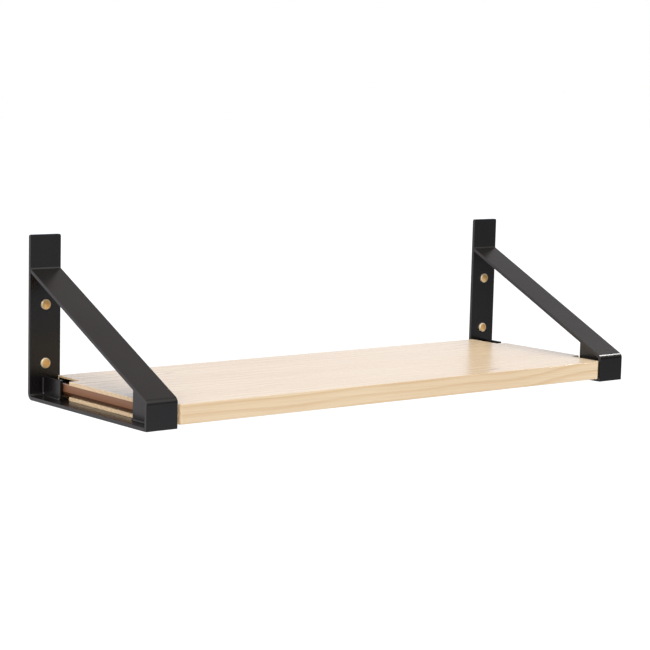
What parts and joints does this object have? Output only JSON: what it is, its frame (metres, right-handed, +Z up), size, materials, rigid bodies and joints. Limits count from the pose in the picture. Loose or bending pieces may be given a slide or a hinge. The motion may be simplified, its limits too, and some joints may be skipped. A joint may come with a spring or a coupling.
{
  "type": "wall shelf with brackets",
  "caption": "Softwood wall shelf carried at its ends by black flat-steel brackets, each a back plate, a level arm under the board, a front lip and a sloping brace.",
  "frame": {"origin": "middle of the four wall screws, on the wall plane, which is the back plates' rear face", "axes": "+X along the shelf to the right as seen from the front, +Y into the wall, +Z up; the shelf stands out towards -Y"},
  "size_m": [0.73, 0.267, 0.19],
  "materials": {
    "black_steel": "satin",
    "pine": "satin",
    "hardwood": "satin",
    "brass": "satin",
    "screw_steel": "satin"
  },
  "bodies": {
    "root": {"shelf_board": "pine", "left_end_strip": "hardwood", "right_end_strip": "hardwood", "left_back_strap": "black_steel", "left_front_strap": "black_steel", "left_rear_rib": "black_steel", "left_front_gusset": "black_steel", "right_back_strap": "black_steel", "right_front_strap": "black_steel", "right_rear_rib": "black_steel", "right_front_gusset": "black_steel", "left_upper_wall_screw": "screw_steel", "left_upper_screw_cap": "brass", "left_lower_wall_screw": "screw_steel", "left_lower_screw_cap": "brass", "right_upper_wall_screw": "screw_steel", "right_upper_screw_cap": "brass", "right_lower_wall_screw": "screw_steel", "right_lower_screw_cap": "brass", "left_rear_board_screw": "screw_steel", "left_front_board_screw": "screw_steel", "right_rear_board_screw": "screw_steel", "right_front_board_screw": "screw_steel"}
  },
  "joints": []
}
